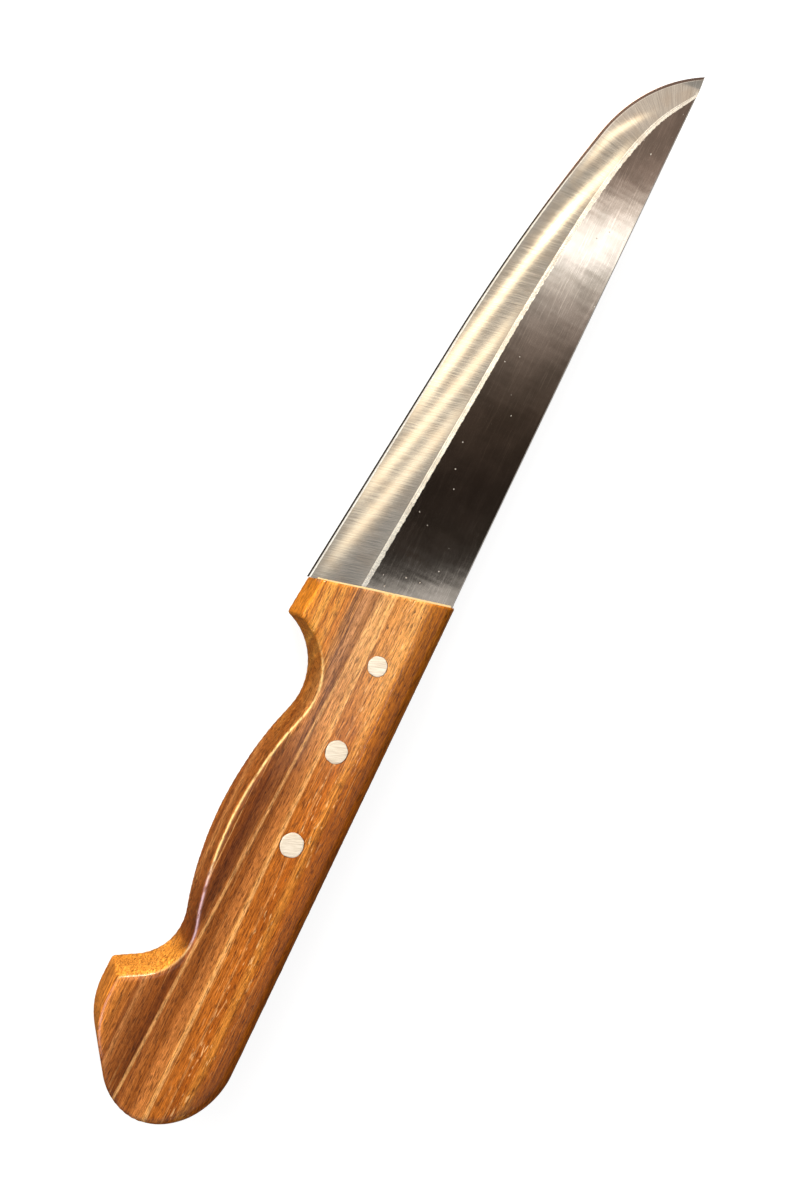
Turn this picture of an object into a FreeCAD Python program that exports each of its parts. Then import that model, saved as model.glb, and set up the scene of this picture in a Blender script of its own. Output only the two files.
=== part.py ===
"""Boning knife with a riveted one-piece wooden handle.

The knife lies on its side.  +X points to the tip, +Y to the cutting edge and +Z up.  The origin is in the
middle of the whole knife's footprint, on the surface that it lies on.

Every piece is drawn on the bench first: x runs from the spine corner where the blade leaves the handle,
y from the spine towards the cutting edge, z from the middle of the blade's thickness.  save() then moves
the piece into the knife's own frame.
"""
import FreeCAD, Part
import math
import os

from FreeCAD import Vector

# Whole knife, in millimetres
HANDLE_LENGTH = 136.8        # along the back, from the blade to the end of the pommel
HANDLE_WIDTH = 35.9          # spine to the crown of the pommel hook
HANDLE_THICKNESS = 18.0
FRONT_SLANT = 0.245          # the handle's front end runs back this much for each unit of width

# Blade: flat stock with one wide bevel on each side and a fine second bevel at the edge
BLADE_THICKNESS = 2.5
HEEL_WIDTH = 34.1            # at x = 0
EDGE_FALL = 0.104            # the straight part of the edge closes on the spine by this slope
EDGE_STRAIGHT_END = 56.5     # where the straight part ends
EDGE_LONG_RADIUS = 526.0     # the gently bowed middle of the edge
BELLY_START = 119.6
BELLY_RADIUS = 41.2          # the belly that sweeps up to the tip
SHOULDER = [(-5.2, 21.4), (41.0, 17.7), (77.0, 14.8), (107.5, 11.0), (126.5, 6.3), (139.0, 0.0)]
FINE_BEVEL_WIDTH = 0.8
FINE_BEVEL_HALF_THICKNESS = 0.16
STRAIGHT_STATIONS = 3        # points that carry the bevels along each part of the edge
LONG_STATIONS = 4
BELLY_STATIONS = 5

# Tang: the same steel, let into the spine half of the handle
TANG_LENGTH = 80.0
TANG_FRONT_WIDTH = 20.5
TANG_REAR_WIDTH = 18.0
TANG_END_RADIUS = 9.0
TANG_OVERLAP = 4.0           # how far the tang's drawing runs into the blade; the two are one piece

# Resin that beds the tang in its slot and seals the blade's entry with a small bead
BED_SIDE = 0.2
BED_FLOOR = 0.4
BEAD_REACH = 0.5             # how far the bead stands out in front of the handle
BEAD_HEIGHT = 0.6            # how far it climbs the handle's front end
BEAD_ROOT = 0.05             # how far it is drawn into the steel before the blade is cut from it

# Handle outline, from the guard to the pommel
GUARD_FRONT_WIDTH = 33.0
GUARD_LIP_WIDTH = 33.9
NOTCH_FLOOR = 22.7           # index finger
NOTCH_RADIUS = 16.0
SWELL_X = -66.5              # palm swell
SWELL_WIDTH = 28.15
SWELL_RADIUS = 89.0
HOLLOW_FLOOR = 24.1          # little finger
HOLLOW_RADIUS = 12.0
HOOK_TURN = 62.6             # degrees that the hollow turns before it runs straight to the hook
CROWN_X = -113.5             # where the pommel is widest
CROWN_RADIUS = 19.8
POMMEL_SLOPE = 33.5          # degrees, the straight behind the crown
BUTT_RADIUS = 15.8           # the pommel's rounded end

# Rounded arrises
BACK_ROUNDING = 7.0
GRIP_ROUNDING = 2.4
FRONT_ROUNDING = 0.6

# Pins: shank, row, countersink, and each pin's place along the knife with the width of its peened head
PIN_SHANK = 4.6
PIN_ROW_Y = 12.4
PIN_COUNTERSINK = 1.2
PINS = {"rivet_front": (-20.5, 5.0), "rivet_middle": (-42.4, 5.7), "rivet_rear": (-66.0, 6.1)}

HALF_BLADE = BLADE_THICKNESS / 2
HALF_HANDLE = HANDLE_THICKNESS / 2
HALF_SLOT = HALF_BLADE + BED_SIDE
CLEAR = 5.0                  # how far cutting shapes run past what they cut
TOUCH = 0.01                 # two places closer than this are the same place


def direction(degrees):
    return Vector(math.cos(math.radians(degrees)), math.sin(math.radians(degrees)), 0)


def heading(start, end):
    return math.degrees(math.atan2(end.y - start.y, end.x - start.x))


def arc_between(centre, radius, first, last):
    """Arc from one direction to another, both in degrees, seen from the centre."""
    points = [centre + direction(angle) * radius for angle in (first, (first + last) / 2, last)]
    return Part.Arc(*points).toShape()


def straights(points):
    return [Part.makeLine(a, b) for a, b in zip(points, points[1:])]


def through(points):
    curve = Part.BSplineCurve()
    curve.interpolate(points)
    return curve.toShape()


def outline_face(edges):
    return Part.Face(Part.Wire(Part.__sortEdges__(edges)))


def slab(edges, half_thickness):
    """A closed outline given an equal thickness above and below the middle of the blade."""
    solid = outline_face(edges).extrude(Vector(0, 0, 2 * half_thickness))
    solid.translate(Vector(0, 0, -half_thickness))
    return solid


def on_front_end(y, z=0.0):
    """The point of the handle's slanted front end at this distance from the spine."""
    return Vector(-FRONT_SLANT * y, y, z)


def upside_down(shape):
    return shape.mirror(Vector(0, 0, 0), Vector(0, 0, 1))


# ---------------------------------------------------------------- blade and tang

def cutting_edge():
    """Points of the cutting edge from heel to tip, each with the unit normal that leaves the blade."""
    slope = math.atan(EDGE_FALL)
    normal = direction(90 - math.degrees(slope))
    heel = on_front_end(HEEL_WIDTH / (1 - EDGE_FALL * FRONT_SLANT))
    straight_end = Vector(EDGE_STRAIGHT_END, HEEL_WIDTH - EDGE_FALL * EDGE_STRAIGHT_END, 0)
    long_centre = straight_end - normal * EDGE_LONG_RADIUS
    belly_turn = math.asin((BELLY_START - long_centre.x) / EDGE_LONG_RADIUS)
    belly_normal = direction(90 - math.degrees(belly_turn))
    belly_centre = long_centre + belly_normal * (EDGE_LONG_RADIUS - BELLY_RADIUS)
    tip_turn = math.acos(-belly_centre.y / BELLY_RADIUS)

    stations = [(heel + (straight_end - heel) * (i / STRAIGHT_STATIONS), normal)
                for i in range(STRAIGHT_STATIONS)]
    arcs = [(long_centre, EDGE_LONG_RADIUS, slope, belly_turn, LONG_STATIONS),
            (belly_centre, BELLY_RADIUS, belly_turn, tip_turn, BELLY_STATIONS)]
    for centre, radius, first, last, steps in arcs:
        for i in range(steps):
            normal = direction(90 - math.degrees(first + (last - first) * i / steps))
            stations.append((centre + normal * radius, normal))
    tip_normal = direction(90 - math.degrees(tip_turn))
    stations.append((belly_centre + tip_normal * BELLY_RADIUS, tip_normal))
    return stations


def blade_tip():
    return cutting_edge()[-1][0]


def fine_bevel_line():
    """Where the wide bevel meets the fine one, from the handle's front end to the spine."""
    stations = cutting_edge()
    line = [point - normal * FINE_BEVEL_WIDTH for point, normal in stations]
    line[0] = on_front_end(stations[0][0].y - FINE_BEVEL_WIDTH)
    line[-1] = blade_tip() - Vector(FINE_BEVEL_WIDTH, 0, 0)
    return [Vector(p.x, p.y, FINE_BEVEL_HALF_THICKNESS) for p in line]


def shoulder_line():
    """Where the flat of the blade ends and the wide bevel begins."""
    return [on_front_end(SHOULDER[0][1], HALF_BLADE)] + [Vector(x, y, HALF_BLADE) for x, y in SHOULDER[1:]]


def upper_side():
    """Flat, wide bevel and fine bevel of the blade's upper side."""
    spine_corner = on_front_end(0, HALF_BLADE)
    shoulder = through(shoulder_line())
    fine = through(fine_bevel_line())
    apex = through([point for point, normal in cutting_edge()])
    flat = outline_face([Part.makeLine(spine_corner, shoulder_line()[0]), shoulder,
                         Part.makeLine(shoulder_line()[-1], spine_corner)])
    return [flat, Part.makeRuledSurface(shoulder, fine), Part.makeRuledSurface(fine, apex)]


def end_face(profile):
    """A flat face whose outline is the upper half profile and its mirror image below."""
    below = [Vector(p.x, p.y, -p.z) for p in reversed(profile[:-1])]
    return outline_face(straights(profile + below + [profile[0]]))


def ground_blade():
    """The blade in front of the handle, sewn from its ground faces."""
    upper = upper_side()
    shoulder = shoulder_line()
    fine = fine_bevel_line()
    spine_corner = on_front_end(0, HALF_BLADE)
    heel = end_face([spine_corner, shoulder[0], fine[0], cutting_edge()[0][0]])
    spine = end_face([spine_corner, shoulder[-1], fine[-1], blade_tip()])
    shell = Part.makeShell(upper + [upside_down(face) for face in upper] + [heel, spine])
    shell.sewShape()
    return Part.makeSolid(shell)


def tang_outline(grow=0.0, front=TANG_OVERLAP, back=0.0):
    """The tang's outline; grown by the bedding it is the outline of the slot in the wood."""
    rear = -TANG_LENGTH - grow
    floor_front = Vector(0, TANG_FRONT_WIDTH + grow, 0)
    floor_rear = Vector(rear, TANG_REAR_WIDTH + grow, 0)
    slope = math.radians(heading(floor_rear, floor_front))
    floor_front = floor_front + Vector(front, front * math.tan(slope), 0)
    radius = TANG_END_RADIUS + grow
    cut = radius / math.tan(math.pi / 4 + slope / 2)
    floor_end = floor_rear + direction(math.degrees(slope)) * cut
    rear_start = floor_rear - Vector(0, cut, 0)
    centre = rear_start + Vector(radius, 0, 0)
    return [Part.makeLine(Vector(front, back, 0), floor_front),
            Part.makeLine(floor_front, floor_end),
            arc_between(centre, radius, 90 + math.degrees(slope), 180),
            Part.makeLine(rear_start, Vector(rear, back, 0)),
            Part.makeLine(Vector(rear, back, 0), Vector(front, back, 0))]


def make_pin(name):
    """A shank with a cone at each end, where peening spread it to fill the countersink."""
    x, head = PINS[name]
    foot = Vector(x, PIN_ROW_Y, -HALF_HANDLE)
    shank = Part.makeCylinder(PIN_SHANK / 2, HANDLE_THICKNESS, foot)
    lower_head = Part.makeCone(head / 2, PIN_SHANK / 2, PIN_COUNTERSINK, foot)
    return shank.fuse([lower_head, upside_down(lower_head)]).removeSplitter()


def make_blade():
    tang = slab(tang_outline(), HALF_BLADE)
    blade = ground_blade().fuse(tang).removeSplitter()
    return blade.cut([make_pin(name) for name in PINS])


# ---------------------------------------------------------------- handle

def finger_hollow(side, floor, radius):
    """Centre of a hollow that touches the palm swell's arc, ahead of it (side 1) or behind it (side -1)."""
    rise = floor + radius - (SWELL_WIDTH - SWELL_RADIUS)
    run = math.sqrt((SWELL_RADIUS + radius) ** 2 - rise ** 2)
    return Vector(SWELL_X + side * run, floor + radius, 0)


def handle_outline():
    """Closed outline, from the spine corner round the guard, the grip and the pommel to the back."""
    swell = Vector(SWELL_X, SWELL_WIDTH - SWELL_RADIUS, 0)
    notch = finger_hollow(1, NOTCH_FLOOR, NOTCH_RADIUS)
    hollow = finger_hollow(-1, HOLLOW_FLOOR, HOLLOW_RADIUS)
    lip_angle = math.degrees(math.asin((GUARD_LIP_WIDTH - notch.y) / NOTCH_RADIUS))
    hook_angle = -90 - HOOK_TURN
    hook_start = hollow + direction(hook_angle) * HOLLOW_RADIUS
    hook_run = direction(hook_angle - 90)
    hook_tip = hook_start + hook_run * ((HANDLE_WIDTH - hook_start.y) / hook_run.y)
    crown = Vector(CROWN_X, HANDLE_WIDTH - CROWN_RADIUS, 0)
    butt = Vector(BUTT_RADIUS - HANDLE_LENGTH, BUTT_RADIUS, 0)
    slope_angle = 90 + POMMEL_SLOPE
    slope_normal = direction(slope_angle)
    return [
        Part.makeLine(on_front_end(0), on_front_end(GUARD_FRONT_WIDTH)),
        Part.makeLine(on_front_end(GUARD_FRONT_WIDTH), notch + direction(lip_angle) * NOTCH_RADIUS),
        arc_between(notch, NOTCH_RADIUS, lip_angle, heading(notch, swell)),
        arc_between(swell, SWELL_RADIUS, heading(swell, notch), heading(swell, hollow)),
        arc_between(hollow, HOLLOW_RADIUS, heading(hollow, swell), hook_angle),
        Part.makeLine(hook_start, hook_tip),
        Part.makeLine(hook_tip, Vector(CROWN_X, HANDLE_WIDTH, 0)),
        arc_between(crown, CROWN_RADIUS, 90, slope_angle),
        Part.makeLine(crown + slope_normal * CROWN_RADIUS, butt + slope_normal * BUTT_RADIUS),
        arc_between(butt, BUTT_RADIUS, slope_angle, 270),
        Part.makeLine(Vector(butt.x, 0, 0), on_front_end(0)),
    ]


def middle_of(edge):
    return edge.valueAt((edge.FirstParameter + edge.LastParameter) / 2)


def is_upright(edge):
    return abs(edge.Vertexes[0].Z - edge.Vertexes[-1].Z) > TOUCH


def on_front_plane(point):
    return abs(point.x + FRONT_SLANT * point.y) < TOUCH


def arris_radii(blank):
    """Edge number, first and last radius of every long arris: full along the back, small round the grip."""
    radii = []
    for number, edge in enumerate(blank.Edges, 1):
        middle = middle_of(edge)
        if is_upright(edge) or on_front_plane(middle):
            continue
        if middle.y < TOUCH:
            radii.append((number, BACK_ROUNDING, BACK_ROUNDING))
        elif middle.x < BUTT_RADIUS - HANDLE_LENGTH - TOUCH and middle.y < BUTT_RADIUS:
            radii.append((number, GRIP_ROUNDING, BACK_ROUNDING))
        else:
            radii.append((number, GRIP_ROUNDING, GRIP_ROUNDING))
    return radii


def rounded_handle():
    """The handle blank with its arrises rounded, before the slot and the pin holes."""
    document = FreeCAD.newDocument("handle")
    blank = document.addObject("Part::Feature", "blank")
    blank.Shape = slab(handle_outline(), HALF_HANDLE)
    rounding = document.addObject("Part::Fillet", "rounding")
    rounding.Base = blank
    rounding.Edges = arris_radii(blank.Shape)
    document.recompute()
    handle = rounding.Shape
    front_edges = [edge for edge in handle.Edges if on_front_plane(middle_of(edge))]
    return handle.makeFillet(FRONT_ROUNDING, front_edges)


def make_handle():
    slot = slab(tang_outline(BED_FLOOR, CLEAR, -CLEAR), HALF_SLOT)
    return rounded_handle().cut([slot] + [make_pin(name) for name in PINS])


# ---------------------------------------------------------------- bedding

def bead_profile(y, surface):
    """The bead's triangle at this distance from the spine, on a steel surface at this height."""
    root = surface - BEAD_ROOT
    corners = [on_front_end(y, root), on_front_end(y, root) + Vector(BEAD_REACH, 0, 0),
               on_front_end(y, surface + BEAD_HEIGHT)]
    return Part.Wire(straights(corners + [corners[0]]))


def make_bedding():
    """Resin round the tang, flush with the handle's back, and the bead on both sides of the blade."""
    slot = slab(tang_outline(BED_FLOOR, CLEAR), HALF_SLOT)
    in_front = slab(straights([on_front_end(-CLEAR), on_front_end(HANDLE_WIDTH),
                               Vector(CLEAR + TANG_OVERLAP, HANDLE_WIDTH, 0),
                               Vector(CLEAR + TANG_OVERLAP, -CLEAR, 0), on_front_end(-CLEAR)]), HALF_HANDLE)
    bedding = slot.cut(in_front)
    bevel_end = fine_bevel_line()[0]
    bead = Part.makeLoft([bead_profile(FRONT_ROUNDING, HALF_BLADE), bead_profile(SHOULDER[0][1], HALF_BLADE),
                          bead_profile(bevel_end.y - FINE_BEVEL_WIDTH * 2, bevel_end.z)], True, True)
    bedding = bedding.fuse([bead, upside_down(bead)])
    return bedding.cut([make_blade()] + [make_pin(name) for name in PINS]).removeSplitter()


# ---------------------------------------------------------------- saving

def save(name, shape):
    """Move a piece from the bench into the knife's frame and write it."""
    placed = shape.copy()
    placed.translate(Vector((HANDLE_LENGTH - blade_tip().x) / 2, -HANDLE_WIDTH / 2, HALF_HANDLE))
    placed.exportStep("parts/" + name + ".step")
    box = placed.BoundBox
    print(name, "valid", placed.isValid(), "solids", len(placed.Solids), "volume", round(placed.Volume, 1),
          "x", round(box.XMin, 2), round(box.XMax, 2), "y", round(box.YMin, 2), round(box.YMax, 2),
          "z", round(box.ZMin, 2), round(box.ZMax, 2))


os.makedirs("parts", exist_ok=True)
save("blade", make_blade())
save("handle", make_handle())
save("tang_bedding", make_bedding())
for pin_name in PINS:
    save(pin_name, make_pin(pin_name))
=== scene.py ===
"""A boning knife lying on its side on a pale floor.

The knife is drawn on its bench in millimetres: x runs along the blade from the spine corner at the handle,
y from the spine towards the cutting edge, and z up from the middle of the blade's thickness.
"""

import math
import random

import bmesh
import bpy
import numpy as np
from mathutils import Matrix, Vector


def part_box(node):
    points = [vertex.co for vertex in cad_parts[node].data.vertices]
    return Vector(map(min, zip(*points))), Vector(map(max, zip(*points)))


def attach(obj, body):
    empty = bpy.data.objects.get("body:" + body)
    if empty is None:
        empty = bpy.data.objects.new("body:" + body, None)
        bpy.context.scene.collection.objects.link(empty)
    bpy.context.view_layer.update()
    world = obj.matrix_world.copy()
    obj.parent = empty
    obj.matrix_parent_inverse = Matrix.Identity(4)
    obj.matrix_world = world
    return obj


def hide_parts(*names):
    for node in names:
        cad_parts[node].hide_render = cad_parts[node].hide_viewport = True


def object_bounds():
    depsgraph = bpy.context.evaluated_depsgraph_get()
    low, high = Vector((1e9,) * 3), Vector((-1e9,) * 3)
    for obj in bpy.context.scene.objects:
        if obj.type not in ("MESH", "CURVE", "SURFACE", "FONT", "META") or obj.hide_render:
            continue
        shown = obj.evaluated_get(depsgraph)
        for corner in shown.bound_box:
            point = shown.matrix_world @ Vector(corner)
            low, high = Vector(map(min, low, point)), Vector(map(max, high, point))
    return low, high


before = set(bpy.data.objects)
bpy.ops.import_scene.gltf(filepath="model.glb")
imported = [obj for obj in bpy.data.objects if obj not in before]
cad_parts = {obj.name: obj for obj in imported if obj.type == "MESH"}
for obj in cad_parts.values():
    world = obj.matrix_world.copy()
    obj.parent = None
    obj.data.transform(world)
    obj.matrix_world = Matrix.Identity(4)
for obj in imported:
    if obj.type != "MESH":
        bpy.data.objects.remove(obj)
cad_low, cad_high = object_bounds()
bpy.context.scene.view_settings.view_transform = "Standard"

# ---------------------------------------- blade
# The blade and its tang are one piece of flat stock.  The wide bevel is ground crosswise on both sides, a
# narrow softened strip is left along its shoulder, and a fine second bevel makes the edge.  The flats keep
# the rolled, darkened mirror of the stock.

BLADE_HALF = 1.25              # half the stock's thickness
FRONT_SLANT = 0.245            # the handle's front end, where the blade starts, runs back by this slope
HEEL = (-8.57, 34.99)          # the edge's corner at the handle
EDGE_FALL = 0.104              # the straight part of the edge closes on the spine by this slope
EDGE_STRAIGHT_END = (56.5, 28.22)
EDGE_LONG_RADIUS = 526.0
BELLY_START = 119.6
BELLY_RADIUS = 41.2
SHOULDER = [(-5.24, 21.4), (41, 17.7), (77, 14.8), (107.5, 11), (126.5, 6.3), (139, 0)]
SHOULDER_STRIP = 1.15          # width of the softened strip
FINE_BEVEL = 0.85
FINE_HALF = 0.16               # half the thickness where the fine bevel starts
BEVEL_BULGE = 0.09             # the wide bevel is a little full in the middle
SPINE_STEPS = [(0, 0.3), (0.05, 0.14), (0.14, 0.04)]   # the spine's rounded arris: (in from the back, fall)
FLAT_START = 0.32
STRIP_SLOPE = 0.072
# The worn profile of the strip, (share of its width, share of its fall), and of the fine bevel, (share of its
# width, share of its thickness left).
STRIP_STEPS = [(0.06, 0.03), (0.14, 0.11), (0.5, 0.49), (0.76, 0.78), (0.84, 0.76), (0.94, 1.0), (1.0, 1.06)]
FINE_STEPS = [(0.06, 0.93), (0.5, 0.62), (0.86, 0.38), (0.90, 0.33), (1.0, 0.0)]
TANG = [(-4.0, 20.5), (-73, 18.2), (-78.6, 15.6), (-80, 10.5), (-80, 0), (1, 0)]


def turned(degrees):
    return np.array([math.cos(math.radians(degrees)), math.sin(math.radians(degrees))])


def arc(centre, radius, first, last, step):
    """Points of an arc from one direction to another, in degrees, about this far apart."""
    count = max(2, int(abs(math.radians(last - first)) * radius / step) + 1)
    return [np.array(centre) + turned(a) * radius for a in np.linspace(first, last, count)]


def run_along(line):
    """The distance along a line to each of its points."""
    return np.concatenate([[0], np.cumsum(np.linalg.norm(np.diff(line, axis=0), axis=1))])


def read_off(at, along, points):
    """The points at these distances, given the points and the distance to each."""
    return np.stack([np.interp(at, along, points[:, i]) for i in (0, 1)], axis=1)


def evenly(points, count):
    """The same line with this many points at equal distances along it."""
    points = np.array(points, float)
    along = run_along(points)
    return read_off(np.linspace(0, along[-1], count), along, points)


def eased(share):
    """A share from 0 to 1 that starts and ends gently."""
    return share * share * (3 - 2 * share)


def flowing(points, per_span=40):
    """A smooth line through a few points."""
    p = [2 * np.array(points[0]) - points[1]] + [np.array(q, float) for q in points]
    p.append(2 * p[-1] - p[-2])
    line = []
    for a, b, c, d in zip(p, p[1:], p[2:], p[3:]):
        for t in np.linspace(0, 1, per_span, endpoint=False):
            line.append(0.5 * (2 * b + (c - a) * t + (2 * a - 5 * b + 4 * c - d) * t * t
                               + (3 * b - 3 * c + d - a) * t ** 3))
    return line + [p[-2]]


def edge_line():
    """The cutting edge from the heel to the tip."""
    first_turn = math.degrees(math.atan(EDGE_FALL))
    long_centre = np.array(EDGE_STRAIGHT_END) - turned(90 - first_turn) * EDGE_LONG_RADIUS
    belly_turn = math.degrees(math.asin((BELLY_START - long_centre[0]) / EDGE_LONG_RADIUS))
    belly_centre = long_centre + turned(90 - belly_turn) * (EDGE_LONG_RADIUS - BELLY_RADIUS)
    tip_turn = math.degrees(math.acos(-belly_centre[1] / BELLY_RADIUS))
    return ([np.array(HEEL), np.array(EDGE_STRAIGHT_END)]
            + arc(long_centre, EDGE_LONG_RADIUS, 90 - first_turn, 90 - belly_turn, 1.0)
            + arc(belly_centre, BELLY_RADIUS, 90 - belly_turn, 90 - tip_turn, 0.3))


STATIONS = 470
edge = evenly(edge_line(), STATIONS)


def grinding_rows(edge):
    """The shoulder's point for each point of the edge: where the grinding lines from the edge meet it.

    The lines lean like the handle's front end along the straight part, and turn square to the edge in the
    belly.
    """
    last = 3999
    shoulder_line = evenly(flowing(SHOULDER), last + 1)
    ahead = np.gradient(edge, axis=0)
    square = np.stack([ahead[:, 1], -ahead[:, 0]], axis=1)
    square /= np.linalg.norm(square, axis=1)[:, None]
    lean = np.array([FRONT_SLANT, -1.0]) / math.hypot(FRONT_SLANT, 1)
    found = []
    for i, point in enumerate(edge):
        belly = min(1.0, max(0.0, (i / len(edge) - 0.55) / 0.35))
        aim = lean * (1 - belly) + square[i] * belly
        offset = shoulder_line - point
        miss = np.abs(offset[:, 0] * aim[1] - offset[:, 1] * aim[0])
        found.append(int(np.argmin(miss)))
    found = np.maximum.accumulate(np.array(found, float))
    share = np.linspace(0, 1, len(edge))
    ending = eased(np.clip((share - 0.80) / 0.2, 0, 1))
    found = found * (1 - ending) + (share * last) * ending
    found[0] = 0
    window = np.ones(31) / 31
    padded = np.concatenate([2 * found[0] - found[15:0:-1], found, 2 * found[-1] - found[-2:-17:-1]])
    found = np.clip(np.convolve(padded, window, "valid"), 0, last)
    return read_off(found, np.arange(last + 1), shoulder_line)


shoulder = grinding_rows(edge)
tip_x = edge[-1][0]
blade_low, blade_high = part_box("blade")
BENCH = Vector((blade_high.x - tip_x / 1000, blade_low.y, (blade_low.z + blade_high.z) / 2))


def make_piece(name, points, faces):
    """A mesh from points in bench millimetres.  The piece stands at the bench's zero in the knife."""
    mesh = bpy.data.meshes.new(name)
    mesh.from_pydata([tuple(c / 1000 for c in p) for p in points], [], faces)
    mesh.validate()
    piece = bpy.data.objects.new(name, mesh)
    piece.location = BENCH
    bpy.context.scene.collection.objects.link(piece)
    for polygon in mesh.polygons:
        polygon.use_smooth = True
    return piece


def tube(rings):
    """Faces round closed rings of points, each ring above the last, with both ends closed."""
    faces = [rings[0][::-1], rings[-1]]
    for low, high in zip(rings, rings[1:]):
        for k in range(len(low)):
            n = (k + 1) % len(low)
            faces.append([low[k], low[n], high[n], high[k]])
    return faces


def blade_row(i):
    """One crosswise row of the blade's upper side, from the spine to the edge: points and kind of surface."""
    random.seed(1000 + i)
    notch = random.uniform(-0.09, 0.09) + 0.05 * math.sin(i * 0.9)
    s, e = shoulder[i], edge[i]
    across = e - s
    width = np.linalg.norm(across)
    across = across / width
    start = s + across * notch * min(1.0, s[1] / 2)
    row = []
    for y, fall in SPINE_STEPS:
        row.append((s[0], min(y, start[1]), BLADE_HALF - fall, "spine"))
    flat_start = min(FLAT_START, start[1])
    row.append((s[0], flat_start, BLADE_HALF, "spine"))
    for t in np.linspace(0, 1, 12)[1:]:
        y = flat_start + (start[1] - flat_start) * t
        row.append((start[0] * t + s[0] * (1 - t), y, BLADE_HALF, "flat"))
    strip = min(SHOULDER_STRIP, width * 0.2)
    strip_fall = strip * STRIP_SLOPE
    for share, fall in STRIP_STEPS:
        p = s + across * strip * share
        row.append((p[0], p[1], BLADE_HALF - strip_fall * fall, "strip"))
    ground = width - strip - FINE_BEVEL
    top = BLADE_HALF - strip_fall * STRIP_STEPS[-1][1]
    for t in np.linspace(0, 1, 15)[1:]:
        p = s + across * (strip + ground * t)
        z = top + (FINE_HALF - top) * t + BEVEL_BULGE * 4 * t * (1 - t)
        row.append((p[0], p[1], z, "bevel"))
    for share, height in FINE_STEPS:
        p = s + across * (width - FINE_BEVEL * (1 - share))
        row.append((p[0], p[1], FINE_HALF * height, "fine"))
    return row


rows = [blade_row(i) for i in range(STATIONS)]
columns = len(rows[0])
edge_run = run_along(edge)
points, where, faces, kinds = [], [], [], []
for side in (1, -1):
    for i, row in enumerate(rows):
        for j, (x, y, z, kind) in enumerate(row):
            points.append((x, y, z * side))
            where.append((edge_run[i], np.linalg.norm(np.array((x, y)) - edge[i])))


def at(side, i, j):
    return (0 if side == 1 else STATIONS * columns) + i * columns + j


for side in (1, -1):
    for i in range(STATIONS - 1):
        for j in range(columns - 1):
            quad = [at(side, i, j), at(side, i + 1, j), at(side, i + 1, j + 1), at(side, i, j + 1)]
            faces.append(quad if side == 1 else quad[::-1])
            kinds.append(rows[i][j + 1][3])
for i in range(STATIONS - 1):
    faces.append([at(-1, i, 0), at(-1, i + 1, 0), at(1, i + 1, 0), at(1, i, 0)])
    kinds.append("spine")
for j in range(columns - 1):
    faces.append([at(1, 0, j), at(1, 0, j + 1), at(-1, 0, j + 1), at(-1, 0, j)])
    kinds.append("spine")
    last = STATIONS - 1
    faces.append([at(-1, last, j), at(-1, last, j + 1), at(1, last, j + 1), at(1, last, j)])
    kinds.append("spine")

tang_start = len(points)
tang_line = evenly(flowing(TANG[:4], 12), 60).tolist() + [list(TANG[4]), list(TANG[5])]
for side in (1, -1):
    points += [(x, y, (BLADE_HALF - 0.01) * side) for x, y in tang_line]
    where += [(x, y) for x, y in tang_line]
turn = len(tang_line)
faces += tube([list(range(start, start + turn)) for start in (tang_start, tang_start + turn)])
kinds += ["flat", "flat"] + ["spine"] * turn

blade = make_piece("blade_steel", points, faces)
surface_order = ["flat", "spine", "strip", "bevel", "fine"]
ground_map = blade.data.uv_layers.new(name="ground")
for polygon in blade.data.polygons:
    polygon.material_index = surface_order.index(kinds[polygon.index])
    for loop in polygon.loop_indices:
        run, reach = where[blade.data.loops[loop].vertex_index]
        ground_map.data[loop].uv = (run / 1000, reach / 1000)

work = bmesh.new()
work.from_mesh(blade.data)
bmesh.ops.remove_doubles(work, verts=work.verts, dist=2e-7)
for e in work.edges:
    if len(e.link_faces) == 2:
        a, b = e.link_faces
        if a.material_index != b.material_index or a.normal.angle(b.normal, 0) > 0.5:
            e.smooth = False
work.to_mesh(blade.data)
work.free()


def paint(red, green, blue):
    """A colour given as on a colour card, 0 to 255, as light."""
    values = [c / 255 for c in (red, green, blue)]
    return tuple(c / 12.92 if c < 0.04045 else ((c + 0.055) / 1.055) ** 2.4 for c in values) + (1.0,)


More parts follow.
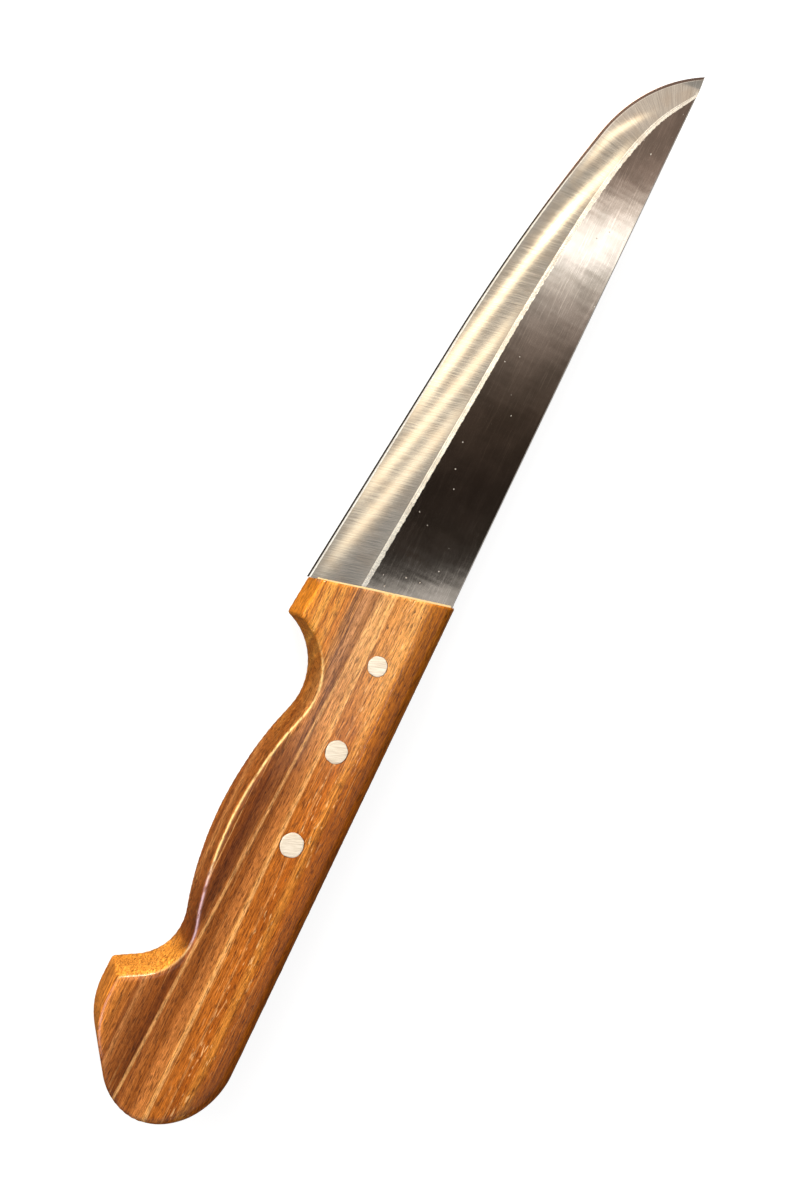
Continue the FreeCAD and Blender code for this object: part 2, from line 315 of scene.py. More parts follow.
class Sheet:
    """Places and joins the nodes of a material or a node group."""

    def __init__(self, tree):
        self.tree = tree

    def add(self, kind, **settings):
        node = self.tree.nodes.new("ShaderNode" + kind)
        for key, value in settings.items():
            setattr(node, key, value)
        return node

    def put(self, value, socket):
        if isinstance(value, bpy.types.NodeSocket):
            self.tree.links.new(value, socket)
        else:
            socket.default_value = value

    def math(self, operation, a, b=0.0, c=0.0):
        node = self.add("Math", operation=operation)
        for value, socket in zip((a, b, c), node.inputs):
            self.put(value, socket)
        return node.outputs[0]

    def times(self, a, b):
        return self.math("MULTIPLY", a, b)

    def times_plus(self, a, b, c):
        return self.math("MULTIPLY_ADD", a, b, c)

    def parts(self, vector):
        node = self.add("SeparateXYZ")
        self.put(vector, node.inputs[0])
        return node.outputs

    def stretch(self, vector, x, y, z):
        node = self.add("VectorMath", operation="MULTIPLY")
        self.put(vector, node.inputs[0])
        node.inputs[1].default_value = (x, y, z)
        return node.outputs[0]

    def noise(self, vector, scale=1.0, detail=3.0, roughness=0.55):
        node = self.add("TexNoise")
        self.put(vector, node.inputs["Vector"])
        node.inputs["Scale"].default_value = scale
        node.inputs["Detail"].default_value = detail
        node.inputs["Roughness"].default_value = roughness
        return node.outputs["Fac"]

    def drawn_out(self, place, squeeze, detail, roughness):
        """Noise drawn out along the directions whose squeeze is small."""
        return self.noise(self.stretch(place, *squeeze), 1.0, detail, roughness)

    def span(self, value, low, high, out_low=0.0, out_high=1.0):
        node = self.add("MapRange", interpolation_type="SMOOTHSTEP")
        for given, socket in zip((value, low, high, out_low, out_high), node.inputs):
            self.put(given, socket)
        return node.outputs[0]

    def blend(self, share, a, b, how="MIX"):
        node = self.add("Mix", data_type="RGBA", blend_type=how)
        self.put(share, node.inputs[0])
        self.put(a, node.inputs[6])
        self.put(b, node.inputs[7])
        return node.outputs[2]

    def ramp(self, value, stops, how="EASE"):
        node = self.add("ValToRGB")
        node.color_ramp.interpolation = how
        elements = node.color_ramp.elements
        while len(elements) > 1:
            elements.remove(elements[-1])
        elements[0].position = stops[0][0]
        elements[0].color = stops[0][1]
        for position, colour in stops[1:]:
            elements.new(position).color = colour
        self.put(value, node.inputs[0])
        return node.outputs[0]

    def bump(self, height, strength=1.0):
        """A relief whose height is given in millimetres."""
        node = self.add("Bump")
        node.inputs["Strength"].default_value = strength
        node.inputs["Distance"].default_value = 0.001
        self.put(height, node.inputs["Height"])
        return node.outputs[0]


def new_finish(name, **sockets):
    """A material, its sheet and its shader's sockets, on which the even values are set."""
    material = bpy.data.materials.new(name)
    material.use_nodes = True
    material.node_tree.nodes.clear()
    sheet = Sheet(material.node_tree)
    shader = sheet.add("BsdfPrincipled")
    out = sheet.add("OutputMaterial")
    material.node_tree.links.new(shader.outputs[0], out.inputs[0])
    for key, value in sockets.items():
        shader.inputs[key.replace("_", " ")].default_value = value
    return material, sheet, shader.inputs


def new_group(name, inputs, outputs):
    """A node group with named sockets: inputs and outputs are {name: kind of socket}."""
    tree = bpy.data.node_groups.new(name, "ShaderNodeTree")
    for key, kind in inputs.items():
        tree.interface.new_socket(name=key, in_out="INPUT", socket_type="NodeSocket" + kind)
    for key, kind in outputs.items():
        tree.interface.new_socket(name=key, in_out="OUTPUT", socket_type="NodeSocket" + kind)
    sheet = Sheet(tree)
    return tree, sheet, tree.nodes.new("NodeGroupInput"), tree.nodes.new("NodeGroupOutput")


def use_group(sheet, tree, **inputs):
    """The outputs of a group that is placed in a material with these values."""
    node = sheet.add("Group", node_tree=tree)
    for key, value in inputs.items():
        sheet.put(value, node.inputs[key.replace("_", " ")])
    return node.outputs


# Brushing: fine parallel scratches along the first axis of a place given in millimetres.
brushing, sheet, given, made = new_group("brushing", {"Place": "Vector", "Fineness": "Float"},
                                         {"Lines": "Float", "Clouds": "Float"})
scaled = sheet.add("VectorMath", operation="SCALE")
sheet.put(given.outputs["Place"], scaled.inputs[0])
sheet.put(given.outputs["Fineness"], scaled.inputs["Scale"])
fine = sheet.drawn_out(scaled.outputs[0], (0.13, 5.0, 5.0), 4.0, 0.7)
coarse = sheet.drawn_out(scaled.outputs[0], (0.07, 1.8, 1.8), 3.0, 0.6)
sheet.put(sheet.times_plus(coarse, 0.3, sheet.times(fine, 0.7)), made.inputs["Lines"])
sheet.put(sheet.noise(scaled.outputs[0], 0.16, 3.0, 0.5), made.inputs["Clouds"])

# Specks: sparse little pits and grains of dirt.
specks, sheet, given, made = new_group("specks", {"Place": "Vector", "Spacing": "Float", "Size": "Float"},
                                       {"Mask": "Float"})
cells = sheet.add("TexVoronoi", feature="F1")
per_millimetre = sheet.math("DIVIDE", 1.0, given.outputs["Spacing"])
wobble = sheet.add("TexNoise")
sheet.put(given.outputs["Place"], wobble.inputs["Vector"])
wobble.inputs["Scale"].default_value = 3.0
shifted = sheet.add("VectorMath", operation="MULTIPLY_ADD")
sheet.put(wobble.outputs["Color"], shifted.inputs[0])
shifted.inputs[1].default_value = (0.3, 0.3, 0.3)
sheet.put(given.outputs["Place"], shifted.inputs[2])
sheet.put(shifted.outputs[0], cells.inputs["Vector"])
sheet.put(per_millimetre, cells.inputs["Scale"])
sheet.put(1.0, cells.inputs["Randomness"])
reach = sheet.times(cells.outputs["Distance"], given.outputs["Spacing"])
half_size = sheet.times(given.outputs["Size"], 0.5)
inside = sheet.span(reach, half_size, given.outputs["Size"], 1.0, 0.0)
chance = sheet.add("SeparateColor")
sheet.put(cells.outputs["Color"], chance.inputs[0])
sheet.put(sheet.times(inside, sheet.math("GREATER_THAN", chance.outputs[0], 0.62)), made.inputs["Mask"])


def millimetres(sheet):
    """The place on the piece in bench millimetres."""
    return sheet.stretch(sheet.add("TexCoord").outputs["Object"], 1000, 1000, 1000)


def ground_place(sheet, sideways):
    """The place on the ground faces in millimetres: along the edge and in from it, or the two exchanged."""
    split = sheet.parts(sheet.add("UVMap", uv_map="ground").outputs[0])
    place = sheet.add("CombineXYZ")
    first, second = (1, 0) if sideways else (0, 1)
    sheet.put(sheet.times(split[first], 1000), place.inputs[0])
    sheet.put(sheet.times(split[second], 1000), place.inputs[1])
    return place.outputs[0]


# Rolled flat: dark mirror with faint lengthwise lines and light specks.
rolled, sheet, shader = new_finish("rolled_flat", Metallic=1.0)
place = millimetres(sheet)
lines = use_group(sheet, brushing, Place=place, Fineness=1.0)
dirt = use_group(sheet, specks, Place=place, Spacing=2.2, Size=0.19)
tone = sheet.span(lines["Clouds"], 0.35, 0.65, 0.0, 1.0)
steel = sheet.blend(tone, paint(116, 110, 105), paint(130, 123, 118))
steel = sheet.blend(sheet.span(lines["Lines"], 0.50, 0.66, 0.0, 0.4), steel, paint(170, 163, 157))
steel = sheet.blend(sheet.times(dirt["Mask"], 0.7), steel, paint(235, 230, 220))
sheet.put(steel, shader["Base Color"])
rough = sheet.times_plus(lines["Lines"], 0.08, 0.03)
sheet.put(sheet.math("MAXIMUM", rough, sheet.times(dirt["Mask"], 0.7)), shader["Roughness"])
ripple = sheet.drawn_out(place, (0.36, 0.10, 0.1), 1.0, 0.5)
grit = sheet.drawn_out(place, (0.9, 3.6, 3.6), 2.0, 0.6)
height = sheet.times_plus(ripple, 0.010, sheet.times(grit, 0.0024))
height = sheet.times_plus(lines["Lines"], 0.0005, height)
height = sheet.times_plus(dirt["Mask"], -0.01, height)
sheet.put(sheet.bump(height), shader["Normal"])

# Spine, heel and tang edges: sawn and filed.
filed, sheet, shader = new_finish("filed_edge", Metallic=0.7)
place = millimetres(sheet)
lines = use_group(sheet, brushing, Place=place, Fineness=1.6)
sheet.put(sheet.blend(lines["Lines"], paint(120, 116, 112), paint(205, 200, 192)), shader["Base Color"])
sheet.put(sheet.span(lines["Clouds"], 0.3, 0.7, 0.28, 0.45), shader["Roughness"])
sheet.put(sheet.bump(sheet.times(lines["Lines"], 0.006)), shader["Normal"])


def ground_steel(name, dark, light, roughness, line_height, direction):
    """Satin steel ground across the blade; the gloss is drawn out along the edge."""
    material, sheet, shader = new_finish(name, Metallic=1.0, Anisotropic=direction)
    place = ground_place(sheet, True)
    lines = use_group(sheet, brushing, Place=place, Fineness=1.3)
    share = sheet.span(lines["Lines"], 0.36, 0.64, 0.0, 1.0)
    colour = sheet.blend(share, dark, light)
    tint = sheet.span(lines["Clouds"], 0.4, 0.65, 0.0, 0.35)
    colour = sheet.blend(tint, colour, paint(176, 160, 142))
    # Painted dark reflection along the very edge, over the burr: near black toward the heel, dark brown
    # toward the tip.
    reach = sheet.parts(ground_place(sheet, False))
    dark_edge_width = sheet.span(reach[0], 100, 130, 0.50, 0.84)
    burr_and_dark_edge = sheet.span(reach[1], sheet.times(dark_edge_width, 0.75), dark_edge_width, 0.97, 0.0)
    burr_and_dark_edge_colour = sheet.blend(sheet.span(reach[0], 95, 125), paint(26, 23, 21), paint(100, 80, 71))
    sheet.put(sheet.blend(burr_and_dark_edge, colour, burr_and_dark_edge_colour), shader["Base Color"])
    sheet.put(sheet.times_plus(share, 0.03, roughness), shader["Roughness"])
    sheet.put(sheet.bump(sheet.times(lines["Lines"], line_height)), shader["Normal"])
    tangent = sheet.add("Tangent", direction_type="UV_MAP", uv_map="ground")
    sheet.put(tangent.outputs[0], shader["Tangent"])
    return material


strip_steel = ground_steel("softened_shoulder", paint(215, 210, 200), paint(246, 243, 236), 0.17, 0.0012, 0.3)
bevel_steel = ground_steel("wide_bevel", paint(160, 153, 144), paint(194, 187, 177), 0.085, 0.0005, 0.2)
fine_steel = ground_steel("fine_bevel", paint(190, 186, 178), paint(228, 225, 218), 0.20, 0.001, 0.4)
for material in (rolled, filed, strip_steel, bevel_steel, fine_steel):
    blade.data.materials.append(material)
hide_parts("blade")
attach(blade, "root")

# ---------------------------------------- bedding
# Pale resin that beds the tang in its slot.  It shows as two thin lines along the handle's back and as a
# small bead where the blade enters the wood.

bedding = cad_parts["tang_bedding"]
resin, sheet, shader = new_finish("bedding_resin", IOR=1.5)
place = millimetres(sheet)
cloud = sheet.noise(place, 0.35, 4.0, 0.6)
grime = sheet.noise(place, 1.4, 3.0, 0.6)
colour = sheet.blend(cloud, paint(170, 140, 92), paint(214, 190, 140))
colour = sheet.blend(sheet.span(grime, 0.55, 0.75, 0.0, 0.6), colour, paint(92, 66, 40))
sheet.put(colour, shader["Base Color"])
sheet.put(sheet.span(grime, 0.3, 0.7, 0.35, 0.55), shader["Roughness"])
sheet.put(sheet.bump(sheet.times(grime, 0.05), 0.6), shader["Normal"])
bedding.data.materials.clear()
bedding.data.materials.append(resin)

# ---------------------------------------- handle
# One piece of straight-grained wood, sawn to outline and slotted along its back for the tang.  The back is
# well rounded, the grip's arrises are taken off by hand in narrow facets, and the whole is lacquered.

HANDLE_HALF = 9.0
GUARD_FRONT = (-8.09, 33.0)
NOTCH, NOTCH_RADIUS = (-33.06, 38.7), 16.0
SWELL, SWELL_RADIUS = (-66.5, -60.85), 89.0
HOLLOW, HOLLOW_RADIUS = (-94.9, 36.1), 12.0
HOOK_TIP = (-108.2, 35.9)
CROWN, CROWN_RADIUS = (-113.5, 16.1), 19.8
BUTT, BUTT_RADIUS = (-121.0, 15.8), 15.8
BACK_ROUNDING = 7.0
GRIP_ROUNDING = 1.15
FRONT_ROUNDING = 0.65
ARRIS_PLACE = 0.34             # the painted highlight line's middle, in from the outline and down from the face
ARRIS_HIGHLIGHT_WIDTH = 0.28
PITS = [(-5.3, 10.0), (-5.9, 8.0), (-11.4, 14.2), (-57.5, 23.4), (-34.0, 27.5)]
BACK_STRAIGHT = 119            # the length of back that is laid out opposite the grip
RING_SHARES = [0, 0.012, 0.035, 0.07, 0.115, 0.17, 0.24, 0.32, 0.42, 0.54, 0.68, 0.84, 1.0, 1.17]
INNER_COLUMNS = 22


def handle_line():
    """The outline from the spine at the front, round the pommel and along the grip to the guard."""
    line = [np.array((0.0, 0.0)), np.array((-121.0, 0.0))]
    line += arc(BUTT, BUTT_RADIUS, 270, 123.5, 0.4)
    line += arc(CROWN, CROWN_RADIUS, 123.5, 90, 0.4)
    line += [np.array(HOOK_TIP)]
    line += arc(HOLLOW, HOLLOW_RADIUS, -152.6, -73.67, 0.4)
    line += arc(SWELL, SWELL_RADIUS, 106.33, 71.43, 0.5)
    line += arc(NOTCH, NOTCH_RADIUS, -108.57, -17.46, 0.4)
    return line + [np.array(GUARD_FRONT)]


def softened(values, reach):
    """Averages along a line; the ends are carried on straight, so they stay where they are."""
    count = int(reach * 3)
    weights = np.exp(-0.5 * (np.arange(-count, count + 1) / reach) ** 2)
    weights /= weights.sum()
    head = 2 * values[0] - values[count:0:-1]
    tail = 2 * values[-1] - values[-2:-count - 2:-1]
    longer = np.concatenate([head, values, tail])
    return np.stack([np.convolve(longer[:, i], weights, "valid") for i in range(values.shape[1])], axis=1)


STEP = 0.1
raw = handle_line()
length = sum(np.linalg.norm(b - a) for a, b in zip(raw, raw[1:]))
line = softened(evenly(raw, int(length / STEP) + 1), 4.5)
run = run_along(line)
ahead = np.gradient(line, axis=0)
inward = np.stack([ahead[:, 1], -ahead[:, 0]], axis=1)
inward = softened(inward / np.linalg.norm(inward, axis=1)[:, None], 16)
plane = np.array([-FRONT_SLANT, 1.0]) / math.hypot(FRONT_SLANT, 1)
for ends, along_plane in ((run, plane), (run[-1] - run, -plane)):
    share = np.exp(-(np.maximum(ends - 0.8, 0) / 3.0) ** 2)[:, None]
    inward = inward * (1 - share) + along_plane * share
inward = inward / np.linalg.norm(inward, axis=1)[:, None]
butt_end = int(np.argmin(line[:, 0]))
crown_side = int(np.argmin(np.abs(run - (run[butt_end] + 20))))
back_share = eased(1 - np.clip((run - run[butt_end] + 22) / 26, 0, 1))
hand = np.array([0.13 * math.sin(s * 0.11) + 0.09 * math.sin(s * 0.31 + 2) + 0.05 * math.sin(s * 0.83)
                 for s in run])
hook = np.exp(-((line[:, 0] + 104) / 9) ** 2) * (line[:, 1] > 20)
guard = np.clip((line[:, 0] + 30) / 8, 0, 1) * (line[:, 1] > 20)
grip_rounding = GRIP_ROUNDING * (1 + hand + 0.5 * hook - 0.3 * guard)
rounding = BACK_ROUNDING * back_share + grip_rounding * (1 - back_share)


def with_close_front(stations, total):
    """Distances from the front end: a few close together over the front rounding, then even ones."""
    close = [0, 0.04, 0.11, 0.21, 0.34, 0.5, 0.7]
    return np.concatenate([close, np.linspace(1.1, total, stations - len(close))])


SIDE_STATIONS = 340
grip_run = run[-1] - with_close_front(SIDE_STATIONS, run[-1] - run[butt_end])
grip_line = read_off(grip_run, run, line)
grip_in = read_off(grip_run, run, inward)
grip_round = np.interp(grip_run, run, rounding)
grip_inner = grip_line + grip_in * (grip_round * RING_SHARES[-1])[:, None]
behind_front = -np.minimum.accumulate(grip_inner[:, 0])
match = 0.8 * behind_front + 0.2 * (np.linspace(0, 1, SIDE_STATIONS) * 131)
butt_from = int(np.argmax(match > BACK_STRAIGHT))
back_run = np.minimum(match - match[0], BACK_STRAIGHT)
rest = np.linspace(0, 1, SIDE_STATIONS - butt_from + 1)[1:]
back_run[butt_from:] = back_run[butt_from - 1] + (run[butt_end] - back_run[butt_from - 1]) * rest
back_run[:7] = with_close_front(SIDE_STATIONS, 10)[:7]
back_run = np.maximum.accumulate(back_run)
back_line = read_off(back_run, run, line)
back_in = read_off(back_run, run, inward)
back_round = np.interp(back_run, run, rounding)
back_inner = back_line + back_in * (back_round * RING_SHARES[-1])[:, None]

plan = []
for share in RING_SHARES:
    plan.append(back_line + back_in * (back_round * share)[:, None])
for share in np.linspace(0, 1, INNER_COLUMNS + 2)[1:-1]:
    plan.append(back_inner * (1 - share) + grip_inner * share)
for share in RING_SHARES[::-1]:
    plan.append(grip_line + grip_in * (grip_round * share)[:, None])
plan = np.stack(plan, axis=1)
across = plan.shape[1]


def rounding_drop(share):
    """How far the arris falls at this share of its rounding: a quarter round worked in four facets."""
    quarter = 1 - np.sqrt(np.clip(1 - (1 - np.clip(share, 0, 1)) ** 2, 0, 1))
    facets = np.interp(share, [0, 0.10, 0.36, 0.78, 1.15], [1.0, 0.60, 0.245, 0.035, 0.0])
    return quarter, facets


def nearest_on(outline, places):
    """The outline's point nearest to each place, as its number, and how far away it is."""
    numbers, gaps = [], []
    for start in range(0, len(places), 2000):
        apart = np.linalg.norm(places[start:start + 2000, None, :] - outline[None, :, :], axis=2)
        numbers.append(apart.argmin(axis=1))
        gaps.append(apart.min(axis=1))
    return np.concatenate(numbers), np.concatenate(gaps)


def surface_height(places):
    """The upper surface's height at these places of the plan."""
    nearest, gaps = nearest_on(line[::2], places)
    local = rounding[nearest * 2]
    quarter, facets = rounding_drop(gaps / local)
    facet_share = 0.75 * (1 - back_share[nearest * 2])
    drop = local * (quarter * (1 - facet_share) + facets * facet_share)
    x, y = places[:, 0], places[:, 1]
    front = (-x - FRONT_SLANT * y) / math.hypot(FRONT_SLANT, 1)
    front = np.clip(front / FRONT_ROUNDING, 0, 1)
    drop += FRONT_ROUNDING * (1 - np.sqrt(np.clip(1 - (1 - front) ** 2, 0, 1)))
    wave = np.sin(x * 0.21 + y * 0.13) + np.sin(x * 0.083 - y * 0.37) + 0.6 * np.sin(x * 0.57 + y * 0.71)
    return HANDLE_HALF - drop - 0.012 * (wave + 2.6)


flat_plan = plan.reshape(-1, 2)
tops = surface_height(flat_plan)
points = [(x, y, z) for (x, y), z in zip(flat_plan, tops)]
points += [(x, y, -z) for (x, y), z in zip(flat_plan, tops)]
faces = []


def plan_at(side, i, j):
    return (0 if side == 1 else len(flat_plan)) + i * across + j


for side in (1, -1):
    for i in range(SIDE_STATIONS - 1):
        for j in range(across - 1):
            quad = [plan_at(side, i, j), plan_at(side, i, j + 1), plan_at(side, i + 1, j + 1),
                    plan_at(side, i + 1, j)]
            faces.append(quad[::-1] if side == 1 else quad)
for column in (0, across - 1):
    walls = [[plan_at(1, i, column) for i in range(SIDE_STATIONS)]]
    for share in (0.82, 0.5, 0.161, -0.161, -0.5, -0.82):
        walls.append([])
        for i in range(SIDE_STATIONS):
            x, y, z = points[plan_at(1, i, column)]
            walls[-1].append(len(points))
            points.append((x, y, z * share))
    walls.append([plan_at(-1, i, column) for i in range(SIDE_STATIONS)])
    for upper, lower in zip(walls, walls[1:]):
        for i in range(SIDE_STATIONS - 1):
            quad = [upper[i], upper[i + 1], lower[i + 1], lower[i]]
            faces.append(quad if column == 0 else quad[::-1])
    if column == 0:
        back_front = [w[0] for w in walls]
    else:
        grip_front = [w[0] for w in walls]
faces.append([plan_at(1, 0, j) for j in range(across)] + grip_front[1:-1]
             + [plan_at(-1, 0, j) for j in range(across)][::-1] + back_front[1:-1][::-1])


def mend(piece):
    """Joins the points that fall together and turns every face outwards."""
    work = bmesh.new()
    work.from_mesh(piece.data)
    bmesh.ops.remove_doubles(work, verts=work.verts, dist=1e-6)
    bmesh.ops.recalc_face_normals(work, faces=work.faces)
    work.to_mesh(piece.data)
    work.free()


wood_piece = make_piece("handle_wood", points, faces)
mend(wood_piece)

PIN_ROW = 12.4
# Each pin's place along the knife and the radius of its head.
PINS = {"rivet_front": (-20.5, 2.36), "rivet_middle": (-42.4, 2.7), "rivet_rear": (-66.0, 2.86)}
PIN_GAP = 0.1
HOLE_RADIUS = 2.42
SLOT_HALF = 1.45
TANG_SLOT = [(3, 21.0), (-73, 18.6), (-78.9, 16.0), (-80.4, 10.5), (-80.4, -3), (3, -3)]


def turned_piece(name, centre, profile, count=64):
    """A piece turned round an upright axis from (radius, height) pairs, closed at both ends."""
    points, rings = [], []
    for radius, z in profile:
        rings.append(list(range(len(points), len(points) + count)))
        for k in range(count):
            x, y = turned(360 * k / count) * radius
            points.append((centre[0] + x, centre[1] + y, z))
    return make_piece(name, points, tube(rings))


slot_points = evenly(flowing(TANG_SLOT[:4], 12), 40).tolist() + [list(TANG_SLOT[4]), list(TANG_SLOT[5])]
turn = len(slot_points)
cutters = [make_piece("slot_cutter", [(x, y, z) for z in (-SLOT_HALF, SLOT_HALF) for x, y in slot_points],
                      tube([list(range(turn)), list(range(turn, 2 * turn))]))]
for name, (x, radius) in PINS.items():
    wide = radius + PIN_GAP
    hole = [(wide, -9.6), (wide, -8.5), (HOLE_RADIUS, -7.7), (HOLE_RADIUS, 7.7), (wide, 8.5), (wide, 9.6)]
    cutters.append(turned_piece("hole_for_" + name, (x, PIN_ROW), hole))
for cutter in cutters:
    mend(cutter)
    cut = wood_piece.modifiers.new(cutter.name, "BOOLEAN")
    cut.operation = "DIFFERENCE"
    cut.solver = "EXACT"
    cut.object = cutter
cut_mesh = bpy.data.meshes.new_from_object(wood_piece.evaluated_get(bpy.context.evaluated_depsgraph_get()))
wood_piece.modifiers.clear()
wood_piece.data = cut_mesh
for cutter in cutters:
    bpy.data.objects.remove(cutter)
wood_piece.data.set_sharp_from_angle(angle=math.radians(40))

# Painted highlight along the grip's arrises, and painted light over paler worn wood in the hook of the
# pommel: how much of each at each point.
corners = np.array([vertex.co for vertex in wood_piece.data.vertices]) * 1000
x, below = corners[:, 0], HANDLE_HALF - np.abs(corners[:, 2])
gaps = nearest_on(line[crown_side::3], corners[:, :2])[1]
off_arris = np.hypot(gaps - ARRIS_PLACE, below - ARRIS_PLACE)
arris_highlight_reach = np.interp(x, [-128, -122, -112, -108, -34, -27, -20], [0, 0.35, 0.45, 1, 1, 0.8, 0])
arris_highlight = np.exp(-(off_arris / ARRIS_HIGHLIGHT_WIDTH) ** 2) * arris_highlight_reach
hook_lit_and_worn = np.exp(-((x + 103) / 5.5) ** 4) * (corners[:, 1] > 24)
hook_lit_and_worn = hook_lit_and_worn * np.clip((below - 0.3) / 0.5, 0, 1) * np.clip(2.2 - gaps, 0, 1)
for name, values in (("arris_highlight", arris_highlight), ("hook_lit_and_worn", hook_lit_and_worn)):
    wood_piece.data.attributes.new(name, "FLOAT", "POINT").data.foreach_set("value", values)

# Growth bands: the wood's colours across the grain, given at distances from the spine. The light band near
# 8.5 mm is a painted glossy streak, and the front bands are lighter partly for a painted sheen.
FRONT_BANDS = [(0, (176, 98, 10)), (4, (188, 106, 12)), (6.5, (200, 122, 30)), (8.5, (226, 160, 84)),
               (12, (212, 144, 72)), (14.5, (200, 134, 66)), (15.9, (198, 128, 60)), (16.3, (238, 180, 108)),
               (16.9, (212, 152, 88)), (18.5, (208, 152, 92)), (20, (168, 112, 62)), (22, (186, 130, 82)),
               (24.0, (204, 138, 70)), (26, (200, 122, 44)), (27.4, (220, 148, 62)), (29, (200, 122, 38)),
               (30, (224, 156, 66)), (32, (206, 128, 40)), (36, (200, 122, 34))]
REAR_BANDS = [(0, (160, 84, 8)), (4, (172, 90, 8)), (6.5, (176, 94, 14)), (8.4, (204, 128, 48)),
              (10.5, (178, 95, 22)), (13, (187, 106, 33)), (15.7, (178, 100, 29)), (16.2, (230, 162, 88)),
              (16.8, (188, 116, 54)), (18.5, (184, 112, 52)), (20.4, (146, 80, 26)), (22, (158, 92, 38)),
              (22.9, (154, 88, 38)), (23.5, (140, 76, 28)), (24.2, (106, 52, 14)), (26.0, (128, 68, 22)),
              (28.6, (150, 86, 36)), (29.9, (182, 118, 64)), (30.6, (146, 82, 36)), (31.6, (176, 104, 42)),
              (36, (206, 128, 50))]
BAND_SPAN = 36.0
# Thin pale lines between the bands: straight or leaning, distance from the spine, half width, strength.
GROWTH_LINES = [("straight", 15.7, 0.48, 0.75), ("leaning", 18.2, 0.55, 0.6), ("straight", 11.9, 0.4, 0.25)]
LEAN = 0.0465                  # the leaning line and the dark heart beside it move out towards the pommel

grain, sheet, given, made = new_group("wood_grain", {"Place": "Vector"},
                                      {"Across": "Float", "Stripes": "Float", "Dark Lines": "Float",
                                       "Light Lines": "Float", "Pores": "Float", "Clouds": "Float"})
place = given.outputs["Place"]
split = sheet.parts(place)
sway = sheet.drawn_out(place, (0.016, 0.05, 0.05), 2.0, 0.5)
sway = sheet.times_plus(sway, 1.0, -0.5)
level = sheet.times_plus(split[2], -0.22, sway)
across_grain = sheet.math("ADD", split[1], sheet.math("ADD", level, 1.98))
sheet.put(across_grain, made.inputs["Across"])
combed = sheet.add("CombineXYZ")
sheet.put(split[0], combed.inputs[0])
sheet.put(across_grain, combed.inputs[1])
sheet.put(split[2], combed.inputs[2])
combed = combed.outputs[0]
sheet.put(sheet.drawn_out(combed, (0.022, 2.0, 0.5), 6.0, 0.74), made.inputs["Stripes"])
dark_lines = sheet.drawn_out(combed, (0.035, 2.6, 0.6), 4.0, 0.6)
sheet.put(sheet.span(dark_lines, 0.55, 0.72), made.inputs["Dark Lines"])
light_lines = sheet.drawn_out(combed, (0.018, 1.9, 1.1), 3.0, 0.6)
sheet.put(sheet.span(light_lines, 0.60, 0.74), made.inputs["Light Lines"])
pores = sheet.drawn_out(combed, (0.40, 3.6, 1.2), 2.0, 0.6)
sheet.put(sheet.span(pores, 0.55, 0.64), made.inputs["Pores"])
sheet.put(sheet.drawn_out(place, (0.05, 0.12, 0.12), 3.0, 0.55), made.inputs["Clouds"])

wood, sheet, shader = new_finish("lacquered_wood", IOR=1.45, Specular_IOR_Level=0.12, Coat_Weight=0.5,
                                  Coat_Roughness=0.15)
place = millimetres(sheet)
split = sheet.parts(place)
figure = use_group(sheet, grain, Place=place)
band = sheet.math("DIVIDE", figure["Across"], BAND_SPAN)
front_colour = sheet.ramp(band, [(y / BAND_SPAN, paint(*c)) for y, c in FRONT_BANDS])
rear_colour = sheet.ramp(band, [(y / BAND_SPAN, paint(*c)) for y, c in REAR_BANDS])
rearward = sheet.times_plus(figure["Clouds"], 26, split[0])
# Front bands toward the blade: the wood's own tone, made lighter partly by a painted sheen on the lacquer.
colour = sheet.blend(sheet.span(rearward, -44, 4), rear_colour, front_colour)
# Painted light on the hook's wall, which faces the warm lamp, over paler worn wood.
hook_light_and_wear = sheet.add("Attribute", attribute_name="hook_lit_and_worn").outputs["Fac"]
colour = sheet.blend(sheet.times(hook_light_and_wear, 0.75), colour, paint(240, 160, 62))
stripe = sheet.ramp(figure["Stripes"], [(0.32, (0.50, 0.42, 0.32, 1)), (0.45, (0.86, 0.83, 0.77, 1)),
                                                (0.58, (1.12, 1.13, 1.12, 1)), (0.72, (1.42, 1.46, 1.52, 1))])
colour = sheet.blend(1.0, colour, stripe, "MULTIPLY")
colour = sheet.blend(sheet.times(figure["Dark Lines"], 0.62), colour, paint(92, 48, 20))
colour = sheet.blend(sheet.times(figure["Light Lines"], 0.5), colour, paint(240, 184, 112))
streak_middle = sheet.times_plus(split[0], 0.11, 24.9)
streak_side = sheet.math("ABSOLUTE", sheet.math("SUBTRACT", figure["Across"], streak_middle))
streak = sheet.times(sheet.span(streak_side, 0.5, 2.5, 1.0, 0.0), sheet.span(split[0], -56, -44))
streak = sheet.times(streak, sheet.span(figure["Stripes"], 0.40, 0.56, 1.0, 0.25))
colour = sheet.blend(sheet.times(streak, 0.85), colour, paint(96, 60, 44))
leaning = sheet.times_plus(split[0], LEAN, figure["Across"])
heart = sheet.times(sheet.span(leaning, 18.6, 19.3), sheet.span(leaning, 21.0, 22.6, 1.0, 0.0))
heart_run = sheet.times(sheet.span(split[0], -96, -82), sheet.span(split[0], -50, -40, 1.0, 0.0))
heart = sheet.times(heart, heart_run)
colour = sheet.blend(sheet.times(heart, 0.6), colour, paint(96, 50, 20))
for run_of_line, middle, width, share in GROWTH_LINES:
    across_it = leaning if run_of_line == "leaning" else figure["Across"]
    off_line = sheet.math("ABSOLUTE", sheet.math("SUBTRACT", across_it, middle))
    thin = sheet.span(off_line, width * 0.3, width, share, 0.0)
    thin = sheet.times(thin, sheet.span(figure["Stripes"], 0.36, 0.5, 0.55, 1.0))
    colour = sheet.blend(thin, colour, paint(234, 174, 106))
